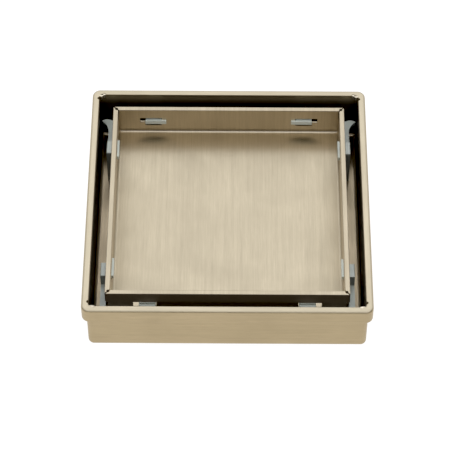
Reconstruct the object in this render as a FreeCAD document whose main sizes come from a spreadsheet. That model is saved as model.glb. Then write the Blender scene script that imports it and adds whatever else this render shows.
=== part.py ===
"""Tile-insert floor drain: a square pan frame let into the floor, and a lift-out tray for a cut tile.

Everything is in millimetres. +Z is up, the origin is at the bottom centre, on the mouth of the outlet
tube, and the rim of the frame is level with the finished floor. Heights are taken down from the rim.
"""
import FreeCAD, Part
import Sketcher
import os

doc = FreeCAD.newDocument("FloorDrain")

# --------------------------------------------------------------------------------------------------
# Driving dimensions
# --------------------------------------------------------------------------------------------------
DIMENSIONS = [
    # frame pan: one folded sheet with an outward hem round its rim
    ("rim_width", 115.0, "outside of the hemmed rim, both ways"),
    ("rim_corner", 3.2, "plan radius of the rim's outer corners"),
    ("band_height", 7.2, "depth of the folded-over band"),
    ("pan_width", 111.3, "outside of the pan below the band"),
    ("pan_corner", 2.2, "plan radius of the pan's outer corners"),
    ("pan_height", 26.0, "rim to underside of the pan"),
    ("pan_sheet", 1.0, "sheet of the pan"),
    ("pan_inner_corner", 1.2, "plan radius of the pan's inner corners"),
    ("pan_bottom_bend", 2.4, "outer radius of the bottom bend"),
    ("pan_floor_bend", 1.8, "inner radius of the bottom bend"),
    ("rim_outer_round", 1.0, "rounding of the rim, outer edge"),
    ("rim_inner_round", 0.35, "rounding of the rim, inner edge"),
    ("band_lip_round", 0.4, "rounding of the band's lower edge"),
    ("hem_gap", 0.85, "open gap of the hem"),
    ("hem_gap_roof", 2.6, "rim to the top of the hem gap"),
    ("hem_gap_length", 100.0, "length of the hem gap along each side"),
    ("relief_radius", 0.7, "fold reliefs, two at each inner corner of the rim"),
    ("relief_offset", 0.1, "relief's centre out from the inner face"),
    ("relief_setback", 2.0, "relief's centre back from the inner corner"),
    ("relief_depth", 2.4, "depth of the fold reliefs"),
    # outlet tube, let into the pan's floor and welded under it
    ("tube_diameter", 50.0, "outside of the outlet tube"),
    ("tube_wall", 1.5, "wall of the outlet tube"),
    ("tube_length", 30.0, "underside of the pan to the tube's mouth"),
    ("tube_mouth_chamfer", 0.6, "lead-in on the tube's mouth"),
    ("tube_flare", 0.5, "how much the tube is flared where it stands in the pan's hole"),
    # tile tray: one folded sheet whose flaps end in an outward hem
    ("tray_width", 97.0, "outside of the tray's hem, both ways"),
    ("tray_height", 14.5, "outside height of the tray"),
    ("tray_drop", 0.5, "tray's edge below the rim"),
    ("tray_sheet", 1.0, "sheet of the tray"),
    ("tray_bend", 1.2, "inner radius of the folds"),
    ("tray_hem_height", 5.8, "height of the hem on the flaps"),
    ("tray_edge_round", 0.3, "rounding of the folded edges"),
    ("corner_slit", 0.5, "open slit between two flaps and between their hems"),
    ("corner_slit_depth", 6.0, "slit and hole, down from the tray's edge"),
    ("corner_hole_radius", 0.65, "relief hole at the root of each fold"),
    ("corner_hole_setback", 1.35, "hole's centre in from the hem's faces"),
    ("slot_near", 28.2, "slot's inner end from the tray's middle"),
    ("slot_step", 35.3, "where the slot gets lower, from the tray's middle"),
    ("slot_far", 37.5, "slot's outer end from the tray's middle"),
    ("slot_top", 5.65, "rim to the top of the slots"),
    ("slot_bottom", 10.2, "rim to the bottom of the slots"),
    ("slot_end_bottom", 8.4, "rim to the bottom of their outer ends, but for the front flap's"),
    # corner clips: plastic spacers that carry the tray and centre it in the pan
    ("clip_play", 0.1, "clip to the tray's outer face"),
    ("clip_outer", 51.0, "outer face of legs and arms from the middle"),
    ("clip_root", 0.6, "run of tabs and ledges into the legs"),
    ("leg_near", 28.4, "leg's inner end from the tray's middle"),
    ("leg_far", 35.1, "leg's outer end from the tray's middle"),
    ("leg_top", 6.9, "rim to the top of the legs"),
    ("leg_round", 0.45, "rounding of the leg's top"),
    ("hook_near", 26.4, "hook's end from the tray's middle, past the slot"),
    ("tab_top", 6.7, "rim to the top of the tabs"),
    ("tab_root_top", 7.5, "rim to the top of the tab where it leaves the leg"),
    ("tab_bottom", 8.5, "rim to the underside of the tabs"),
    ("tab_reach", 0.8, "tab past the tray's inner face"),
    ("arm_top", 12.6, "rim to the top of the arms"),
    ("arm_bottom", 14.7, "rim to the underside of the arms"),
    ("ledge_reach", 4.3, "ledge in under the tray from its outer face"),
    ("ledge_height", 2.4, "height of the ledge"),
    ("claw_root", 44.8, "where the corner claw leaves the arm"),
    ("claw_tip", 54.05, "tip of a claw from the middle"),
    ("claw_tip_along", 50.7, "corner claw's tip along the arm"),
    ("claw_heel", 51.1, "back of the corner claw, at the arm's end"),
    ("claw_bite", 1.0, "run of a claw into its arm"),
    ("claw_hollow", 7.1, "radius of the claw's hollow side"),
    ("claw_crown", 3.3, "radius of the claw's back"),
    ("side_claw_shift", 8.0, "second claw, back along its arm"),
]

sheet = doc.addObject("Spreadsheet::Sheet", "Dims")
for row, (alias, value, note) in enumerate(DIMENSIONS, start=1):
    sheet.set("A%d" % row, alias)
    sheet.set("B%d" % row, repr(value))
    sheet.setAlias("B%d" % row, alias)
    sheet.set("C%d" % row, note)
doc.recompute()


class Size:
    """A length with the sheet formula that gives it, so that sketches start where they will be solved."""

    def __init__(self, value, formula):
        self.value, self.formula = value, formula

    def __add__(self, other):
        return Size(self.value + other.value, "(%s + %s)" % (self.formula, other.formula))

    def __sub__(self, other):
        return Size(self.value - other.value, "(%s - %s)" % (self.formula, other.formula))

    def __mul__(self, number):
        return Size(self.value * number, "(%s * %s)" % (self.formula, repr(float(number))))

    def __truediv__(self, number):
        return Size(self.value / number, "(%s / %s)" % (self.formula, repr(float(number))))


dim = {alias: Size(value, "Dims." + alias) for alias, value, note in DIMENSIONS}

ZERO = Size(0.0, "0")
SIGNS = (-1, 1)
DIAGONAL = 0.5 ** 0.5
TOLERANCE = 1e-4

rim_level = dim["tube_length"] + dim["pan_height"]


def level(depth):
    """Height above the origin of something this far below the rim."""
    return rim_level - depth


def span(near, far, sign):
    """Both ends of a stretch on one side of the middle, the lower one first."""
    return (near * sign, far * sign)[::sign]


# --------------------------------------------------------------------------------------------------
# PartDesign helpers
# --------------------------------------------------------------------------------------------------
def new_body(label):
    body = doc.addObject("PartDesign::Body", label)
    body.Label = label
    return body


def new_sketch(body, name, plane="XY_Plane", offset=ZERO):
    """A sketch on one of the body's origin planes, lifted off it by offset."""
    sketch = body.newObject("Sketcher::SketchObject", name)
    origin_plane = [feature for feature in body.Origin.OriginFeatures if feature.Role == plane][0]
    sketch.AttachmentSupport = [(origin_plane, "")]
    sketch.MapMode = "FlatFace"
    sketch.setExpression("AttachmentOffset.Base.z", offset.formula)
    return sketch


def vector(point):
    return FreeCAD.Vector(point[0].value, point[1].value, 0)


def pin_point(sketch, geometry, end, point):
    """Hold one point of the sketch at sheet-driven coordinates."""
    for direction, size in zip(("DistanceX", "DistanceY"), point):
        index = sketch.addConstraint(
            Sketcher.Constraint(direction, -1, 1, geometry, end, size.value))
        sketch.setExpression("Constraints[%d]" % index, size.formula)


def set_radius(sketch, geometry, radius):
    index = sketch.addConstraint(Sketcher.Constraint("Radius", geometry, radius.value))
    sketch.setExpression("Constraints[%d]" % index, radius.formula)


def bowed(start, end, radius, side):
    """An arc from start to end, bowed to the left of its way for side 1 and to the right for -1."""
    chord = end - start
    across = FreeCAD.Vector(-chord.y, chord.x, 0).normalize() * side
    rise = radius.value - (radius.value ** 2 - (chord.Length / 2) ** 2) ** 0.5
    return Part.Arc(start, (start + end) / 2 + across * rise, end)


def draw_outline(sketch, points, arcs=None):
    """A closed outline through (x, y) pairs; arcs gives (radius, side) for the sides that are bowed."""
    arcs = arcs or {}
    first = sketch.GeometryCount
    count = len(points)
    ends = []
    for i, point in enumerate(points):
        start, end = vector(point), vector(points[(i + 1) % count])
        shape = bowed(start, end, *arcs[i]) if i in arcs else Part.LineSegment(start, end)
        index = sketch.addGeometry(shape, False)
        forward = (sketch.getPoint(index, 1) - start).Length < TOLERANCE
        ends.append((1, 2) if forward else (2, 1))
    for i, point in enumerate(points):
        following = (i + 1) % count
        sketch.addConstraint(Sketcher.Constraint(
            "Coincident", first + i, ends[i][1], first + following, ends[following][0]))
        pin_point(sketch, first + i, ends[i][0], point)
    for i, (radius, side) in arcs.items():
        set_radius(sketch, first + i, radius)


def draw_rectangle(sketch, x_span, y_span):
    (x0, x1), (y0, y1) = x_span, y_span
    draw_outline(sketch, [(x0, y0), (x1, y0), (x1, y1), (x0, y1)])


def draw_square(sketch, width):
    across = (width / -2, width / 2)
    draw_rectangle(sketch, across, across)


def draw_circle(sketch, x, y, radius):
    index = sketch.addGeometry(Part.Circle(vector((x, y)), FreeCAD.Vector(0, 0, 1), radius.value), False)
    pin_point(sketch, index, 3, (x, y))
    set_radius(sketch, index, radius)


def settle(feature):
    """Recompute, and stop if the feature did not come out."""
    doc.recompute()
    if "Invalid" in feature.State or feature.Shape.isNull() or not feature.Shape.isValid():
        raise RuntimeError("%s did not compute" % feature.Name)
    return feature


def pad(body, name, sketch, length):
    """Add material upwards from the sketch."""
    feature = body.newObject("PartDesign::Pad", name)
    feature.Profile = sketch
    feature.setExpression("Length", length.formula)
    return settle(feature)


def pocket(body, name, sketch, length, up=False):
    """Cut downwards from the sketch, or upwards, and check that something was cut."""
    before = body.Shape.Volume
    feature = body.newObject("PartDesign::Pocket", name)
    feature.Profile = sketch
    feature.Reversed = up
    feature.setExpression("Length", length.formula)
    settle(feature)
    if body.Shape.Volume > before - TOLERANCE:
        raise RuntimeError("pocket %s cuts nothing" % name)
    return feature


def fillet(body, name, radius, wanted):
    """Round the edges of the body's last feature for which wanted(edge) holds."""
    base = body.Tip
    edges = ["Edge%d" % (i + 1) for i, edge in enumerate(base.Shape.Edges) if wanted(edge)]
    if not edges:
        raise RuntimeError("fillet %s has no edges" % name)
    feature = body.newObject("PartDesign::Fillet", name)
    feature.Base = (base, edges)
    feature.setExpression("Radius", radius.formula)
    return settle(feature)


def is_level_at(edge, height):
    """True for an edge that runs level at this height."""
    box = edge.BoundBox
    return max(abs(box.ZMin - height.value), abs(box.ZMax - height.value)) < TOLERANCE


def reaches(edge, distance):
    """True for an edge whose furthest point, across the flats, is this far from the middle."""
    box = edge.BoundBox
    reach = max(abs(box.XMin), abs(box.XMax), abs(box.YMin), abs(box.YMax))
    return abs(reach - distance.value) < TOLERANCE


def stands_up(edge):
    box = edge.BoundBox
    return max(box.XLength, box.YLength) < TOLERANCE


# --------------------------------------------------------------------------------------------------
# Frame pan
# --------------------------------------------------------------------------------------------------
frame = new_body("frame_pan")
rim_half = dim["rim_width"] / 2
pan_half = dim["pan_width"] / 2
well_half = pan_half - dim["pan_sheet"]
band_bottom = level(dim["band_height"])
pan_bottom = level(dim["pan_height"])
pan_floor = pan_bottom + dim["pan_sheet"]

sketch = new_sketch(frame, "PanOutline", offset=pan_bottom)
draw_square(sketch, dim["pan_width"])
pad(frame, "PanBlock", sketch, dim["pan_height"])
fillet(frame, "PanCorners", dim["pan_corner"], stands_up)
fillet(frame, "PanBottomBend", dim["pan_bottom_bend"], lambda edge: is_level_at(edge, pan_bottom))

sketch = new_sketch(frame, "BandOutline", offset=band_bottom)
draw_square(sketch, dim["rim_width"])
pad(frame, "Band", sketch, dim["band_height"])
fillet(frame, "BandCorners", dim["rim_corner"], lambda edge: stands_up(edge) and reaches(edge, rim_half))
fillet(frame, "RimOuterRound", dim["rim_outer_round"],
       lambda edge: is_level_at(edge, rim_level) and reaches(edge, rim_half))
fillet(frame, "BandLipRound", dim["band_lip_round"],
       lambda edge: is_level_at(edge, band_bottom) and reaches(edge, rim_half))

sketch = new_sketch(frame, "WellOutline", offset=rim_level)
draw_square(sketch, well_half * 2)
pocket(frame, "Well", sketch, dim["pan_height"] - dim["pan_sheet"])
fillet(frame, "WellCorners", dim["pan_inner_corner"],
       lambda edge: stands_up(edge) and reaches(edge, well_half))
fillet(frame, "FloorBend", dim["pan_floor_bend"], lambda edge: is_level_at(edge, pan_floor))
fillet(frame, "RimInnerRound", dim["rim_inner_round"],
       lambda edge: is_level_at(edge, rim_level) and reaches(edge, well_half))

# a half-round relief in each fold, either side of every inner corner
sketch = new_sketch(frame, "FoldReliefOutlines", offset=rim_level)
relief_out = well_half + dim["relief_offset"]
relief_along = well_half - dim["relief_setback"]
for sx in SIGNS:
    for sy in SIGNS:
        draw_circle(sketch, relief_out * sx, relief_along * sy, dim["relief_radius"])
        draw_circle(sketch, relief_along * sx, relief_out * sy, dim["relief_radius"])
pocket(frame, "FoldReliefs", sketch, dim["relief_depth"])

# the gap between the pan's wall and the leg of the hem
sketch = new_sketch(frame, "HemGapOutlines", offset=band_bottom)
gap_along = (dim["hem_gap_length"] / -2, dim["hem_gap_length"] / 2)
for sign in SIGNS:
    gap_across = span(pan_half, pan_half + dim["hem_gap"], sign)
    draw_rectangle(sketch, gap_across, gap_along)
    draw_rectangle(sketch, gap_along, gap_across)
pocket(frame, "HemGaps", sketch, dim["band_height"] - dim["hem_gap_roof"], up=True)

sketch = new_sketch(frame, "OutletHoleOutline", offset=pan_floor)
draw_circle(sketch, ZERO, ZERO, dim["tube_diameter"] / 2 + dim["tube_flare"])
pocket(frame, "OutletHole", sketch, dim["pan_sheet"])

# --------------------------------------------------------------------------------------------------
# Outlet tube: its top end, slightly flared, stands in the pan's hole, flush with the pan's floor
# --------------------------------------------------------------------------------------------------
tube = new_body("outlet_tube")
tube_outer = dim["tube_diameter"] / 2
tube_inner = tube_outer - dim["tube_wall"]
tube_flared = tube_outer + dim["tube_flare"]
sketch = new_sketch(tube, "TubeSection", plane="XZ_Plane")
draw_outline(sketch, [
    (tube_inner, ZERO),
    (tube_outer - dim["tube_mouth_chamfer"], ZERO),
    (tube_outer, dim["tube_mouth_chamfer"]),
    (tube_outer, dim["tube_length"]),
    (tube_flared, dim["tube_length"]),
    (tube_flared, pan_floor),
    (tube_inner, pan_floor),
])
revolution = tube.newObject("PartDesign::Revolution", "TubeTurn")
revolution.Profile = sketch
revolution.ReferenceAxis = (sketch, ["V_Axis"])
settle(revolution)

# --------------------------------------------------------------------------------------------------
# Tile tray
# --------------------------------------------------------------------------------------------------
tray = new_body("tile_tray")
tray_half = dim["tray_width"] / 2
flap_outside = tray_half - dim["tray_sheet"]
flap_inside = flap_outside - dim["tray_sheet"]
tray_top = level(dim["tray_drop"])
tray_base = tray_top - dim["tray_height"]
tray_floor = tray_base + dim["tray_sheet"]

sketch = new_sketch(tray, "TrayOutline", offset=tray_base)
draw_square(sketch, flap_outside * 2)
pad(tray, "TrayBlock", sketch, dim["tray_height"])
fillet(tray, "OuterBends", dim["tray_bend"] + dim["tray_sheet"], lambda edge: is_level_at(edge, tray_base))

sketch = new_sketch(tray, "TrayWellOutline", offset=tray_top)
draw_square(sketch, flap_inside * 2)
pocket(tray, "TrayWell", sketch, dim["tray_height"] - dim["tray_sheet"])
fillet(tray, "InnerBends", dim["tray_bend"], lambda edge: is_level_at(edge, tray_floor))

# two slots in each flap take the tabs of the clips; opposite flaps are cut in one go
for plane in ("XZ_Plane", "YZ_Plane"):
    sketch = new_sketch(tray, "SlotOutlines" + plane[0], plane=plane, offset=tray_half)
    for sign in SIGNS:
        draw_outline(sketch, [(along * sign, level(depth)) for along, depth in (
            (dim["slot_near"], dim["slot_top"]), (dim["slot_near"], dim["slot_bottom"]),
            (dim["slot_step"], dim["slot_bottom"]), (dim["slot_step"], dim["slot_end_bottom"]),
            (dim["slot_far"], dim["slot_end_bottom"]), (dim["slot_far"], dim["slot_top"]))])
    pocket(tray, "Slots" + plane[0], sketch, dim["tray_width"])

# the front flap's slots are as high at their outer ends as at the tabs
sketch = new_sketch(tray, "FrontSlotEndOutlines", plane="XZ_Plane", offset=tray_half)
for sign in SIGNS:
    draw_rectangle(sketch, span(dim["slot_step"], dim["slot_far"], sign),
                   (level(dim["slot_bottom"]), level(dim["slot_top"])))
pocket(tray, "FrontSlotEnds", sketch, dim["tray_sheet"] * 3)

# the flaps' upper edges are folded outwards and down, flat against the flaps
hem_bottom = tray_top - dim["tray_hem_height"]
sketch = new_sketch(tray, "TrayHemOutline", offset=hem_bottom)
draw_square(sketch, tray_half * 2)
draw_square(sketch, flap_outside * 2)
pad(tray, "TrayHem", sketch, dim["tray_hem_height"])
fillet(tray, "TopFolds", dim["tray_edge_round"], lambda edge: is_level_at(edge, tray_top))
fillet(tray, "HemEdges", dim["tray_edge_round"],
       lambda edge: is_level_at(edge, hem_bottom) and reaches(edge, tray_half))

# at each corner a relief hole and a diagonal slit part the two flaps; below them the seam is closed
sketch = new_sketch(tray, "CornerHoleOutlines", offset=tray_top)
hole_at = tray_half - dim["corner_hole_setback"]
for sx in SIGNS:
    for sy in SIGNS:
        draw_circle(sketch, hole_at * sx, hole_at * sy, dim["corner_hole_radius"])
pocket(tray, "CornerHoles", sketch, dim["corner_slit_depth"])

sketch = new_sketch(tray, "CornerSlitOutlines", offset=tray_top)
slit_side = dim["corner_slit"] / 2 * DIAGONAL
slit_in = flap_inside - dim["tray_sheet"]
slit_out = tray_half + dim["tray_sheet"]
there = [(place + slit_side, place - slit_side) for place in (slit_in, slit_out)]
back = [(y, x) for x, y in reversed(there)]
for sx in SIGNS:
    for sy in SIGNS:
        draw_outline(sketch, [(x * sx, y * sy) for x, y in there + back])
pocket(tray, "CornerSlits", sketch, dim["corner_slit_depth"])

# --------------------------------------------------------------------------------------------------
# Corner clips
# --------------------------------------------------------------------------------------------------
clip_inside = tray_half + dim["clip_play"]
root_end = clip_inside + dim["clip_root"]
tab_end = flap_inside - dim["tab_reach"]
ledge_end = tray_half - dim["ledge_reach"]
leg_along = (dim["leg_near"], dim["leg_far"])
hook_along = (dim["hook_near"], dim["leg_far"])


def draw_claw(sketch, corner, shift, swap):
    """A claw that stands out from an arm: hollow on the side of the leg, crowned on its back.

    corner is the pair of signs of the clip's corner. A claw is laid out with its arm along Y and the
    pan's wall on the side of X; swap turns that round, for the clip's other arm.
    """
    outside, inside = dim["clip_outer"], dim["clip_outer"] - dim["claw_bite"]
    outline = [
        (inside, dim["claw_root"]),
        (outside, dim["claw_root"]),
        (dim["claw_tip"], dim["claw_tip_along"]),
        (inside, dim["claw_heel"]),
    ]
    points = []
    for out, along in outline:
        x, y = (along - shift, out) if swap else (out, along - shift)
        points.append((x * corner[0], y * corner[1]))
    side = corner[0] * corner[1] * (-1 if swap else 1)
    draw_outline(sketch, points, {1: (dim["claw_hollow"], side), 2: (dim["claw_crown"], -side)})


def make_clip(label, sx, sy):
    """The clip of one corner: a leg on each flap, joined round the corner by a low arm."""
    body = new_body(label)

    def boxes(name, out, along, low, high):
        """The same box on both flaps, drawn in one sketch."""
        drawing = new_sketch(body, name + "Outlines", offset=low)
        draw_rectangle(drawing, span(*out, sx), span(*along, sy))
        draw_rectangle(drawing, span(*along, sx), span(*out, sy))
        pad(body, name, drawing, high - low)

    # the arm comes first, as one L, so that the body stays one solid throughout
    arm_bottom, arm_height = level(dim["arm_bottom"]), dim["arm_bottom"] - dim["arm_top"]
    near, inside, outside = dim["leg_near"], clip_inside, dim["clip_outer"]
    drawing = new_sketch(body, "ArmOutline", offset=arm_bottom)
    draw_outline(drawing, [(x * sx, y * sy) for x, y in (
        (outside, near), (outside, outside), (near, outside),
        (near, inside), (inside, inside), (inside, near))])
    pad(body, "Arm", drawing, arm_height)

    leg_top, tab_bottom = level(dim["leg_top"]), level(dim["tab_bottom"])
    boxes("Legs", (clip_inside, outside), leg_along, pan_floor, leg_top)
    fillet(body, "LegTops", dim["leg_round"], lambda edge: is_level_at(edge, leg_top))
    # a tab is pushed in at the slot's outer end and slid along it, until its hook is behind the flap
    boxes("TabRoots", (tab_end, root_end), leg_along, tab_bottom, level(dim["tab_root_top"]))
    boxes("Tabs", (tab_end, tray_half), leg_along, tab_bottom, level(dim["tab_top"]))
    boxes("Hooks", (tab_end, flap_inside), hook_along, tab_bottom, level(dim["tab_top"]))
    boxes("Ledges", (ledge_end, root_end), leg_along, tray_base - dim["ledge_height"], tray_base)

    for name, shift, swap in (("CornerClaw", ZERO, False), ("SideClaw", dim["side_claw_shift"], True)):
        drawing = new_sketch(body, name + "Outline", offset=arm_bottom)
        draw_claw(drawing, (sx, sy), shift, swap)
        pad(body, name, drawing, arm_height)
    return body


clips = [
    make_clip("clip_front_left", -1, -1),
    make_clip("clip_front_right", 1, -1),
    make_clip("clip_back_left", -1, 1),
    make_clip("clip_back_right", 1, 1),
]

# --------------------------------------------------------------------------------------------------
# Check and write
# --------------------------------------------------------------------------------------------------
doc.recompute()
for item in doc.Objects:
    if "Invalid" in item.State or "Error" in item.State:
        raise RuntimeError("%s did not compute: %s" % (item.Name, item.State))

os.makedirs("parts", exist_ok=True)
for piece in [frame, tube, tray] + clips:
    shape = piece.Shape
    if shape.isNull() or not shape.isValid() or len(shape.Solids) != 1:
        raise RuntimeError("%s is not one valid solid" % piece.Label)
    shape.exportStep("parts/%s.step" % piece.Label)
    box = shape.BoundBox
    print("%-18s %9.1f mm3  x %.2f..%.2f  y %.2f..%.2f  z %.2f..%.2f" % (
        piece.Label, shape.Volume, box.XMin, box.XMax, box.YMin, box.YMax, box.ZMin, box.ZMax))
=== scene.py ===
"""Looks of the tile-insert floor drain: brushed metal, moulded clips, weld seams, studio and camera."""

import math

import bpy
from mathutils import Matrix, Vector


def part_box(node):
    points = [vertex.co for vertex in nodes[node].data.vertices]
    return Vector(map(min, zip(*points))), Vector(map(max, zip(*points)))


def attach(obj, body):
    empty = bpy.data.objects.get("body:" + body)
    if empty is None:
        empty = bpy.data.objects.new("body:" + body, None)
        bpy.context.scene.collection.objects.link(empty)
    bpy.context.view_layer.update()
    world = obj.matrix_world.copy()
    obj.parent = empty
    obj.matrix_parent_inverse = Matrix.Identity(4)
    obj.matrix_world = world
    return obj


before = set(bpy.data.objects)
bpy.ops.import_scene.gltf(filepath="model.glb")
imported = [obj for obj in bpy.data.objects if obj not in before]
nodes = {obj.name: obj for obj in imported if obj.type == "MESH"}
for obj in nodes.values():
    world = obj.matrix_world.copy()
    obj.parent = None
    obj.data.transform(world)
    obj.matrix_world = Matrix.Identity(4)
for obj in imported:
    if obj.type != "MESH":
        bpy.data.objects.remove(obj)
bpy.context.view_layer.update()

MM = 0.001


# --------------------------------------------------------------------------------------------------
# Places, taken from the frame
# --------------------------------------------------------------------------------------------------
SHEET = 1.0 * MM
HEM_GAP = 0.85 * MM
TUBE_FLARE = 0.5 * MM

pan_low, pan_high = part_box("frame_pan")

RIM_LEVEL = pan_high.z
RIM_CENTRE = Vector((0, 0, RIM_LEVEL))
PAN_UNDERSIDE = pan_low.z
WELL_HALF = pan_high.x - 2 * SHEET - HEM_GAP
TRAY_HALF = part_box("tile_tray")[1].x
TUBE_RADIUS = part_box("outlet_tube")[1].x - TUBE_FLARE


# --------------------------------------------------------------------------------------------------
# Node material helpers
# --------------------------------------------------------------------------------------------------
def set_range(node, low, high, new_low, new_high):
    """Set the four limits of a Map Range node."""
    for name, number in (("From Min", low), ("From Max", high), ("To Min", new_low), ("To Max", new_high)):
        node.inputs[name].default_value = number


class Graph:
    """Builds a node material; each call adds a node or a few."""

    def __init__(self, name):
        self.material = bpy.data.materials.new(name)
        self.material.use_nodes = True
        self.tree = self.material.node_tree
        self.tree.nodes.clear()
        self.output = self.node("ShaderNodeOutputMaterial")
        self.shader = self.node("ShaderNodeBsdfPrincipled")
        self.link(self.shader.outputs["BSDF"], self.output.inputs["Surface"])
        self.place = self.node("ShaderNodeTexCoord").outputs["Object"]

    def node(self, kind, **settings):
        made = self.tree.nodes.new(kind)
        for key, value in settings.items():
            setattr(made, key, value)
        return made

    def link(self, source, target):
        self.tree.links.new(source, target)

    def feed(self, target, value):
        """Give an input a number, a vector or another node's output."""
        if isinstance(value, bpy.types.NodeSocket):
            self.link(value, target)
        elif value is not None:
            target.default_value = value

    def math(self, operation, a, b=None):
        made = self.node("ShaderNodeMath", operation=operation)
        for socket, value in zip(made.inputs, (a, b)):
            self.feed(socket, value)
        return made.outputs[0]

    def plus(self, a, b):
        return self.math("ADD", a, b)

    def times(self, a, b):
        return self.math("MULTIPLY", a, b)

    def larger(self, a, b):
        return self.math("MAXIMUM", a, b)

    def size(self, value):
        return self.math("ABSOLUTE", value)

    def above(self, value, limit):
        return self.math("GREATER_THAN", value, limit)

    def below(self, value, limit):
        return self.math("LESS_THAN", value, limit)

    def split(self, vector):
        made = self.node("ShaderNodeSeparateXYZ")
        self.link(vector, made.inputs[0])
        return made.outputs["X"], made.outputs["Y"], made.outputs["Z"]

    def join(self, x, y, z):
        made = self.node("ShaderNodeCombineXYZ")
        for socket, value in zip(made.inputs, (x, y, z)):
            self.feed(socket, value)
        return made.outputs[0]

    def noise(self, vector, scale, detail=2.0, roughness=0.5, distortion=0.0):
        made = self.node("ShaderNodeTexNoise")
        self.link(vector, made.inputs["Vector"])
        made.inputs["Scale"].default_value = scale
        made.inputs["Detail"].default_value = detail
        made.inputs["Roughness"].default_value = roughness
        made.inputs["Distortion"].default_value = distortion
        return made.outputs["Fac"]

    def remap(self, value, low, high, new_low, new_high):
        made = self.node("ShaderNodeMapRange")
        self.link(value, made.inputs["Value"])
        set_range(made, low, high, new_low, new_high)
        return made.outputs["Result"]

    def mix(self, factor, a, b, kind="RGBA"):
        made = self.node("ShaderNodeMix", data_type=kind)
        self.feed(made.inputs["Factor"], factor)
        self.feed(made.inputs["A"], a)
        self.feed(made.inputs["B"], b)
        return made.outputs["Result"]

    def cross(self, a, b):
        made = self.node("ShaderNodeVectorMath", operation="CROSS_PRODUCT")
        self.feed(made.inputs[0], a)
        self.feed(made.inputs[1], b)
        return made.outputs[0]

    def shaded(self, tint, shade):
        """A colour, plain or from a node, made lighter or darker."""
        made = self.node("ShaderNodeVectorMath", operation="SCALE")
        self.feed(made.inputs[0], tint)
        made.inputs["Scale"].default_value = shade
        return made.outputs[0]

    def facing(self):
        """The surface's normal, and how far it faces to the sides, to the ends and up or down."""
        normal = self.node("ShaderNodeNewGeometry").outputs["Normal"]
        to_side, to_end, upward = [self.size(part) for part in self.split(normal)]
        return normal, to_side, to_end, upward

    def bump(self, height, strength, distance):
        made = self.node("ShaderNodeBump")
        made.inputs["Strength"].default_value = strength
        made.inputs["Distance"].default_value = distance
        self.link(height, made.inputs["Height"])
        return made.outputs["Normal"]


# --------------------------------------------------------------------------------------------------
# Materials
# --------------------------------------------------------------------------------------------------
CHAMPAGNE = (0.465, 0.392, 0.273)
# LIT_END_CHAMPAGNE is painted light: a lighter copy of the tray's tint for its end flaps
LIT_END_CHAMPAGNE = (0.58, 0.49, 0.36)
RIM_CHAMPAGNE = (0.465, 0.395, 0.275)
# SHADED_SIDE_CHAMPAGNE is painted shade on the pan's upright faces; LIT_FLOOR_CHAMPAGNE is painted light on
# the well's floor
SHADED_SIDE_CHAMPAGNE = (0.455, 0.36, 0.217)
LIT_FLOOR_CHAMPAGNE = (0.66, 0.53, 0.35)
# painted shade for the tray flaps' outer faces
TRAY_PAINTED_SHADE = (0.19, 0.145, 0.095)
# painted shade for the pan's well walls and reliefs, turning near black deeper down
PAN_PAINTED_SHADE = (0.17, 0.125, 0.068)
PAN_DEEP_PAINTED_SHADE = (0.03, 0.021, 0.012)
TUBE_STEEL = (0.55, 0.50, 0.42)
WELD_STEEL = (0.60, 0.52, 0.39)
CLIP_GREY = (0.54, 0.56, 0.48)

# cells of noise per metre
FINE_ACROSS, FINE_ALONG = 4200.0, 150.0
BROAD_ACROSS, BROAD_ALONG = 1300.0, 22.0
SMEARS = 45.0
CLIP_FLOW, CLIP_MOTTLE, CLIP_GRAIN = 60.0, 260.0, 2600.0
WELD_HEAT, WELD_MOTTLE = 120.0, 900.0

# depths of the bumps
HAIRLINE_DEPTH = 0.03 * MM
CLIP_GRAIN_DEPTH = 0.04 * MM
WELD_MOTTLE_DEPTH = 0.05 * MM

# how much lighter and darker the hairlines are than the tint, and how far they stretch a reflection
CONTRAST = 0.11
ANISOTROPY = 0.8

# depths below the rim at which the finish, its painted shade and the clips' painted light change
SHADE_FROM, SHADE_FULL = 0.3 * MM, 3.5 * MM
DEEP_SHADE_FROM, DEEP_SHADE_FULL = 1.5 * MM, 5.5 * MM
RELIEF_DEPTH = 3.0 * MM
PAINTED_LIGHT_CLIP_DEPTH = 11.0 * MM
BOTTOM_DEPTH = 22.0 * MM

# how far past the well's wall, or inside the tray's outline, the finish still counts as that face's
WELL_MARGIN = 0.2 * MM
RELIEF_MARGIN = 1.0 * MM
FLAP_MARGIN = 1.2 * MM

X_WAY, Y_WAY, Z_WAY = (1.0, 0.0, 0.0), (0.0, 1.0, 0.0), (0.0, 0.0, 1.0)


def opaque(tint):
    return tint + (1.0,)


def hairlines(graph, across, along, scale_across, scale_along, seed):
    """Noise drawn out along the brushing."""
    spot = graph.join(graph.times(across, scale_across), graph.times(along, scale_along), seed)
    return graph.noise(spot, 1.0, detail=3.0, roughness=0.6)


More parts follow.
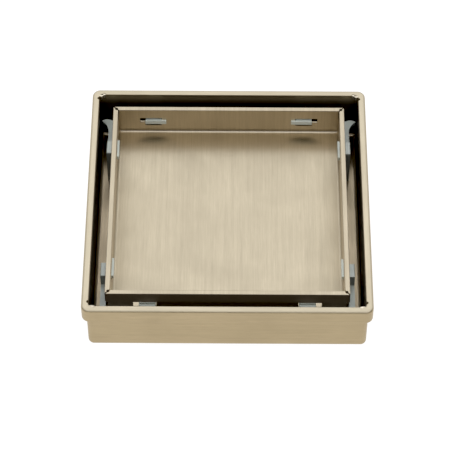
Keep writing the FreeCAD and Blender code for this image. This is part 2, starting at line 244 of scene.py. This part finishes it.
def finish_metal(graph, across, along, tint, roughness, seed, tangent, painted_shade_mask=None, painted_shade_tint=None):
    """Brushed plated sheet: hairlines, faint broader bands and slight smears.

    across and along are lengths over the surface, across and along the hairlines; tangent runs across them
    too. painted_shade_mask marks where a painted shade darkens the sheet to painted_shade_tint and also
    makes it rougher and less metallic.
    """
    shader = graph.shader
    fine = hairlines(graph, across, along, FINE_ACROSS, FINE_ALONG, seed)
    broad = hairlines(graph, across, along, BROAD_ACROSS, BROAD_ALONG, seed + 3.0)
    smear = graph.noise(graph.place, SMEARS, detail=3.0, roughness=0.55, distortion=0.4)

    lines = graph.plus(graph.times(fine, 0.5), graph.times(broad, 0.5))
    colour = graph.mix(graph.remap(lines, 0.3, 0.7, 0.0, 1.0),
                       graph.shaded(tint, 1.0 - CONTRAST), graph.shaded(tint, 1.0 + CONTRAST))
    colour = graph.mix(graph.remap(smear, 0.35, 0.65, 0.0, 0.5), colour, graph.shaded(tint, 0.96))
    rough = graph.plus(graph.remap(lines, 0.3, 0.7, roughness + 0.04, roughness - 0.04),
                       graph.remap(smear, 0.3, 0.7, -0.03, 0.04))
    if painted_shade_mask is None:
        shader.inputs["Metallic"].default_value = 1.0
    else:
        # painted shade: where the mask is set, the colour turns to the painted shade's tint
        colour = graph.mix(painted_shade_mask, colour, painted_shade_tint)
        rough = graph.plus(rough, graph.times(painted_shade_mask, 0.15))
        graph.link(graph.remap(painted_shade_mask, 0.0, 1.0, 1.0, 0.4), shader.inputs["Metallic"])
    graph.link(colour, shader.inputs["Base Color"])
    graph.link(rough, shader.inputs["Roughness"])
    shader.inputs["Anisotropic"].default_value = ANISOTROPY
    graph.link(tangent, shader.inputs["Tangent"])
    graph.link(graph.bump(fine, 0.10, HAIRLINE_DEPTH), shader.inputs["Normal"])


def tray_metal(name):
    """The tray's sheet, brushed front to back before it was folded up; its flaps carry a painted shade
    outside, and its side and end flaps are painted lighter than its floor.
    """
    graph = Graph(name)
    x, y, z = graph.split(graph.place)
    normal, to_side, to_end, up = graph.facing()
    side_flap = graph.above(to_side, 0.7)
    end_flap = graph.above(to_end, 0.5)
    across = graph.plus(x, graph.times(side_flap, z))
    along = graph.plus(y, z)
    tangent = graph.mix(end_flap, graph.cross(normal, Y_WAY), X_WAY, kind="VECTOR")

    # painted light: the side flaps take a copy of the tint 12% lighter, and the end flaps a lighter copy
    # still
    tint = graph.mix(side_flap, opaque(CHAMPAGNE), graph.shaded(CHAMPAGNE, 1.12))
    tint = graph.mix(end_flap, tint, opaque(LIT_END_CHAMPAGNE))
    # painted shade on the flaps' outer faces, which face into the gap round the tray
    outside = graph.above(graph.larger(graph.size(x), graph.size(y)), TRAY_HALF - FLAP_MARGIN)
    upright = graph.remap(up, 0.8, 0.4, 0.0, 1.0)
    finish_metal(graph, across, along, tint, roughness=0.40, seed=1.7, tangent=tangent,
                 painted_shade_mask=graph.times(outside, upright), painted_shade_tint=opaque(TRAY_PAINTED_SHADE))
    return graph.material


def pan_metal(name):
    """The pan, brushed along its rim and front to back on its bottom; a painted shade darkens the walls
    inside the well and the rim's reliefs, near black further down, and its upright faces and floor take
    painted shade and painted light tints.
    """
    graph = Graph(name)
    x, y, z = graph.split(graph.place)
    width, depth = graph.size(x), graph.size(y)
    normal, _, _, up = graph.facing()
    low = graph.below(z, RIM_LEVEL - BOTTOM_DEPTH)
    side = graph.larger(graph.above(width, depth), graph.times(low, graph.above(up, 0.7)))
    end = graph.math("SUBTRACT", 1.0, side)
    reach = graph.plus(graph.times(side, width), graph.times(end, depth))
    across = graph.math("SUBTRACT", reach, z)
    along = graph.plus(graph.times(side, y), graph.times(end, x))
    tangent = graph.mix(side, graph.cross(normal, X_WAY), graph.cross(normal, Y_WAY), kind="VECTOR")

    out = graph.larger(width, depth)
    in_well = graph.below(out, WELL_HALF + WELL_MARGIN)
    in_relief = graph.times(graph.below(out, WELL_HALF + RELIEF_MARGIN),
                            graph.above(z, RIM_LEVEL - RELIEF_DEPTH))
    upright = graph.remap(up, 0.9, 0.5, 0.0, 1.0)
    # painted shade: the pan's upright faces take a darker copy of the rim's tint; painted light: the well's
    # floor takes a lighter one
    tint = graph.mix(upright, opaque(RIM_CHAMPAGNE), opaque(SHADED_SIDE_CHAMPAGNE))
    tint = graph.mix(graph.times(low, in_well), tint, opaque(LIT_FLOOR_CHAMPAGNE))
    # painted shade on the well's upright walls and in the rim's reliefs, from just below the rim, near black
    # further down
    below_rim = graph.remap(z, RIM_LEVEL - SHADE_FROM, RIM_LEVEL - SHADE_FULL, 0.0, 1.0)
    painted_shade_mask = graph.times(graph.larger(graph.times(in_well, upright), in_relief), below_rim)
    deep_shade = graph.remap(z, RIM_LEVEL - DEEP_SHADE_FROM, RIM_LEVEL - DEEP_SHADE_FULL, 0.0, 1.0)
    finish_metal(graph, across, along, tint, roughness=0.33, seed=5.1, tangent=tangent,
                 painted_shade_mask=painted_shade_mask, painted_shade_tint=graph.mix(deep_shade, opaque(PAN_PAINTED_SHADE), opaque(PAN_DEEP_PAINTED_SHADE)))
    return graph.material


def tube_metal(name):
    """Drawn tube, turned on its outside: the lines run round it."""
    graph = Graph(name)
    x, y, z = graph.split(graph.place)
    around = graph.times(graph.math("ARCTAN2", y, x), TUBE_RADIUS)
    finish_metal(graph, z, around, TUBE_STEEL, roughness=0.36, seed=9.4, tangent=graph.join(*Z_WAY))
    return graph.material


def clip_plastic(name):
    """Moulded grey plastic, faintly grained: painted light on the tabs inside the tray and the low arms,
    painted shade on the upright sides outside the tray.
    """
    graph = Graph(name)
    shader = graph.shader
    x, y, z = graph.split(graph.place)
    out = graph.larger(graph.size(x), graph.size(y))
    up = graph.facing()[-1]
    flow = graph.noise(graph.place, CLIP_FLOW, distortion=0.8)
    colour = graph.mix(graph.remap(flow, 0.35, 0.65, 0.0, 1.0),
                       graph.shaded(CLIP_GREY, 0.9), graph.shaded(CLIP_GREY, 1.08))
    # painted light: the tabs inside the tray and the arms low in the well are made lighter
    lit_parts_mask = graph.larger(graph.below(out, TRAY_HALF), graph.below(z, RIM_LEVEL - PAINTED_LIGHT_CLIP_DEPTH))
    colour = graph.mix(lit_parts_mask, colour, graph.shaded(colour, 1.22))
    # painted shade: the clips' upright faces outside the tray are darkened
    shaded_side_mask = graph.times(graph.above(out, TRAY_HALF), graph.remap(up, 0.7, 0.4, 0.0, 1.0))
    colour = graph.mix(shaded_side_mask, colour, graph.shaded(CLIP_GREY, 0.5))
    graph.link(colour, shader.inputs["Base Color"])
    mottle = graph.noise(graph.place, CLIP_MOTTLE, detail=3.0, roughness=0.6)
    graph.link(graph.remap(mottle, 0.3, 0.7, 0.36, 0.48), shader.inputs["Roughness"])
    grain = graph.noise(graph.place, CLIP_GRAIN)
    graph.link(graph.bump(grain, 0.12, CLIP_GRAIN_DEPTH), shader.inputs["Normal"])
    shader.inputs["Specular IOR Level"].default_value = 0.6
    return graph.material


def weld_metal(name):
    """Weld seam: bare metal, mottled by the heat."""
    graph = Graph(name)
    shader = graph.shader
    mottle = graph.noise(graph.place, WELD_MOTTLE, detail=3.0, roughness=0.6)
    heat = graph.noise(graph.place, WELD_HEAT)
    colour = graph.mix(graph.remap(heat, 0.35, 0.65, 0.0, 1.0),
                       graph.shaded(WELD_STEEL, 0.8), graph.shaded(WELD_STEEL, 1.1))
    graph.link(colour, shader.inputs["Base Color"])
    graph.link(graph.remap(mottle, 0.3, 0.7, 0.28, 0.45), shader.inputs["Roughness"])
    shader.inputs["Metallic"].default_value = 1.0
    graph.link(graph.bump(mottle, 0.2, WELD_MOTTLE_DEPTH), shader.inputs["Normal"])
    return graph.material


FINISHES = {
    "tile_tray": tray_metal("tray_brushed_champagne"),
    "frame_pan": pan_metal("pan_brushed_champagne"),
    "outlet_tube": tube_metal("tube_drawn_steel"),
}
clip_material = clip_plastic("clip_moulded_grey")
for name, node in nodes.items():
    node.material_slots[0].material = FINISHES.get(name, clip_material)
weld_material = weld_metal("weld_seam")


# --------------------------------------------------------------------------------------------------
# Weld seams
# --------------------------------------------------------------------------------------------------
BEAD_LEG = 1.7 * MM
BEAD_RIPPLES = 70
BEAD_STEPS = BEAD_RIPPLES * 6
BEAD_ARC_STEPS = 7
BURIED = 0.15 * MM
# shares of the bead's leg
BEAD_REACH = 0.85
SLOW_WANDER, FAST_WANDER = 0.06, 0.04
RIPPLE_HEIGHT = 0.07
FACE_HOLLOW = 0.22

SPOT_SIDES = 12
# a spot of weld from the top down: depth below the rim in millimetres, and share of its full size
SPOT_PROFILE = ((0.04, 0.82), (0.12, 0.95), (0.35, 1.0), (0.9, 0.94), (1.5, 0.98), (2.1, 0.8), (2.5, 0.4))
# half length and half width of the two kinds of spot, and how far each lies inside the well's corner
FILL_HALVES, FILL_INSETS = (1.5 * MM, 0.62 * MM), (1.3 * MM, -0.2 * MM)
LUMP_HALVES, LUMP_INSETS = (1.1 * MM, 1.0 * MM), (0.75 * MM, 0.1 * MM)


def add_piece(name, points, faces, material):
    """A smooth closed mesh that goes with the pan."""
    mesh = bpy.data.meshes.new(name)
    mesh.from_pydata(points, [], faces)
    mesh.validate()
    mesh.shade_smooth()
    mesh.materials.append(material)
    piece = bpy.data.objects.new(name, mesh)
    bpy.context.scene.collection.objects.link(piece)
    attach(piece, "pan")


def stitch(rings, per_ring, closed):
    """Quads between neighbouring rings of points; the last ring joins the first when closed."""
    faces = []
    for ring in range(rings if closed else rings - 1):
        following = (ring + 1) % rings
        for spot in range(per_ring):
            beside = (spot + 1) % per_ring
            faces.append((ring * per_ring + spot, ring * per_ring + beside,
                          following * per_ring + beside, following * per_ring + spot))
    return faces


def bead_section(turn):
    """Points (radius, height) round the bead at this angle: buried heel, then the rippled face."""
    section = [(TUBE_RADIUS - BURIED, PAN_UNDERSIDE + BURIED)]
    wander = SLOW_WANDER * math.sin(3 * turn + 0.7) + FAST_WANDER * math.sin(11 * turn)
    for step in range(BEAD_ARC_STEPS):
        slope = math.pi / 2 * step / (BEAD_ARC_STEPS - 1)
        ripple = RIPPLE_HEIGHT * abs(math.sin(BEAD_RIPPLES * turn / 2 + 0.8 * math.cos(2 * slope)))
        reach = BEAD_LEG * (BEAD_REACH + wander + ripple - FACE_HOLLOW * math.sin(2 * slope))
        section.append((TUBE_RADIUS + reach * math.sin(slope), PAN_UNDERSIDE - reach * math.cos(slope)))
    return section


def add_outlet_weld():
    """Fillet weld between the outlet tube and the underside of the pan."""
    points = []
    for step in range(BEAD_STEPS):
        turn = 2 * math.pi * step / BEAD_STEPS
        for radius, height in bead_section(turn):
            points.append((radius * math.cos(turn), radius * math.sin(turn), height))
    add_piece("outlet_weld", points, stitch(BEAD_STEPS, BEAD_ARC_STEPS + 1, closed=True), weld_material)


def add_weld_spot(name, corner, halves, insets):
    """Flat-topped spot of weld, flush with the rim; corner is -1 or 1 for each of x and y."""
    middle = [way * (WELL_HALF - inset) for way, inset in zip(corner, insets)]
    points = []
    for depth, share in SPOT_PROFILE:
        for side in range(SPOT_SIDES):
            turn = 2 * math.pi * side / SPOT_SIDES
            points.append((middle[0] + halves[0] * share * math.cos(turn),
                           middle[1] + halves[1] * share * math.sin(turn), RIM_LEVEL - depth * MM))
    rings = len(SPOT_PROFILE)
    faces = stitch(rings, SPOT_SIDES, closed=False)
    faces.append(tuple(reversed(range(SPOT_SIDES))))
    faces.append(tuple(range((rings - 1) * SPOT_SIDES, rings * SPOT_SIDES)))
    add_piece(name, points, faces, weld_material)


def add_rim_welds():
    """The rim's inner corners have their front and back reliefs welded up; the back ones have a lump too."""
    for side, sx in (("left", -1), ("right", 1)):
        for end, sy in (("front", -1), ("back", 1)):
            add_weld_spot("rim_weld_%s_%s" % (end, side), (sx, sy), FILL_HALVES, FILL_INSETS)
        add_weld_spot("rim_bead_back_%s" % side, (sx, 1), LUMP_HALVES, LUMP_INSETS)


add_outlet_weld()
add_rim_welds()


# --------------------------------------------------------------------------------------------------
# Studio
# --------------------------------------------------------------------------------------------------
FLOOR_SIZE = 8.0
FLOOR_DROP = 0.1 * MM
WORLD_DARK, WORLD_BRIGHT = 0.15, 1.35
WORLD_TINT = (0.96, 1.0, 1.08)
SOFTBOX_PLACE = (0.0, 0.81, 1.05)
SOFTBOX_SIZE = (1.6, 1.4)
SOFTBOX_POWER = 3.0
SOFTBOX_TINT = (0.95, 1.0, 1.1)
BLACK_LEVEL = 0.009


def floor_material():
    """Pale matt floor that carries only a faint shadow."""
    graph = Graph("studio_floor")
    graph.shader.inputs["Base Color"].default_value = (0.12, 0.12, 0.12, 1.0)
    graph.shader.inputs["Roughness"].default_value = 0.9
    graph.shader.inputs["Emission Color"].default_value = (1.0, 1.0, 1.0, 1.0)
    graph.shader.inputs["Emission Strength"].default_value = 0.95
    return graph.material


def add_floor():
    bpy.ops.mesh.primitive_plane_add(size=FLOOR_SIZE, location=(0, 0, -FLOOR_DROP))
    floor = bpy.context.object
    floor.name = "studio_floor"
    floor.data.materials.append(floor_material())


def add_softbox():
    """One large soft light, above and behind the object and turned towards it."""
    data = bpy.data.lights.new("overhead_softbox", "AREA")
    data.shape = "RECTANGLE"
    data.size, data.size_y = SOFTBOX_SIZE
    data.energy = SOFTBOX_POWER
    data.color = SOFTBOX_TINT
    light = bpy.data.objects.new("overhead_softbox", data)
    light.location = SOFTBOX_PLACE
    light.rotation_euler = (RIM_CENTRE - Vector(SOFTBOX_PLACE)).to_track_quat("-Z", "Y").to_euler()
    bpy.context.scene.collection.objects.link(light)


def add_world():
    """Bright overhead and behind the object, darker from the camera's side between floor and ceiling."""
    world = bpy.data.worlds.new("studio")
    world.use_nodes = True
    tree = world.node_tree

    def add(kind, source=None, socket=0, **settings):
        made = tree.nodes.new(kind)
        for key, value in settings.items():
            setattr(made, key, value)
        if source is not None:
            tree.links.new(source, made.inputs[socket])
        return made

    def ramp(source, low, high, new_low, new_high):
        made = add("ShaderNodeMapRange", source, "Value", interpolation_type="SMOOTHSTEP")
        set_range(made, low, high, new_low, new_high)
        return made.outputs["Result"]

    way = add("ShaderNodeSeparateXYZ", add("ShaderNodeTexCoord").outputs["Generated"])
    rise = ramp(way.outputs["Z"], 0.35, 0.8, 0.0, 1.0)
    back = ramp(way.outputs["Y"], -0.1, 0.5, 0.0, 0.6)
    share = add("ShaderNodeMath", rise, operation="MAXIMUM")
    tree.links.new(back, share.inputs[1])
    background = tree.nodes["Background"]
    background.inputs["Color"].default_value = opaque(WORLD_TINT)
    tree.links.new(ramp(share.outputs[0], 0.0, 1.0, WORLD_DARK, WORLD_BRIGHT), background.inputs["Strength"])
    bpy.context.scene.world = world


add_floor()
add_world()
add_softbox()


# --------------------------------------------------------------------------------------------------
# Camera, at the photograph's viewing angle
# --------------------------------------------------------------------------------------------------
CAMERA_ELEVATION = math.radians(51.816)
CAMERA_YAW = math.radians(0.239)
CAMERA_DISTANCE = 0.886947
CAMERA_AIM = RIM_CENTRE + Vector((-1.162, -14.485, 0)) * MM
CAMERA_LENS = 174.175
SENSOR_WIDTH = 36.0


def add_camera():
    data = bpy.data.cameras.new("camera")
    data.sensor_width = SENSOR_WIDTH
    data.lens = CAMERA_LENS
    data.clip_start = 0.05
    camera = bpy.data.objects.new("camera", data)
    level = math.cos(CAMERA_ELEVATION)
    offset = Vector((
        math.sin(CAMERA_YAW) * level, -math.cos(CAMERA_YAW) * level, math.sin(CAMERA_ELEVATION)))
    camera.location = RIM_CENTRE + offset * CAMERA_DISTANCE
    camera.rotation_euler = (CAMERA_AIM - camera.location).to_track_quat("-Z", "Y").to_euler()
    bpy.context.scene.collection.objects.link(camera)
    bpy.context.scene.camera = camera


add_camera()
view = bpy.context.scene.view_settings
view.view_transform = "Standard"
view.use_curve_mapping = True
view.curve_mapping.black_level = (BLACK_LEVEL, BLACK_LEVEL, BLACK_LEVEL)
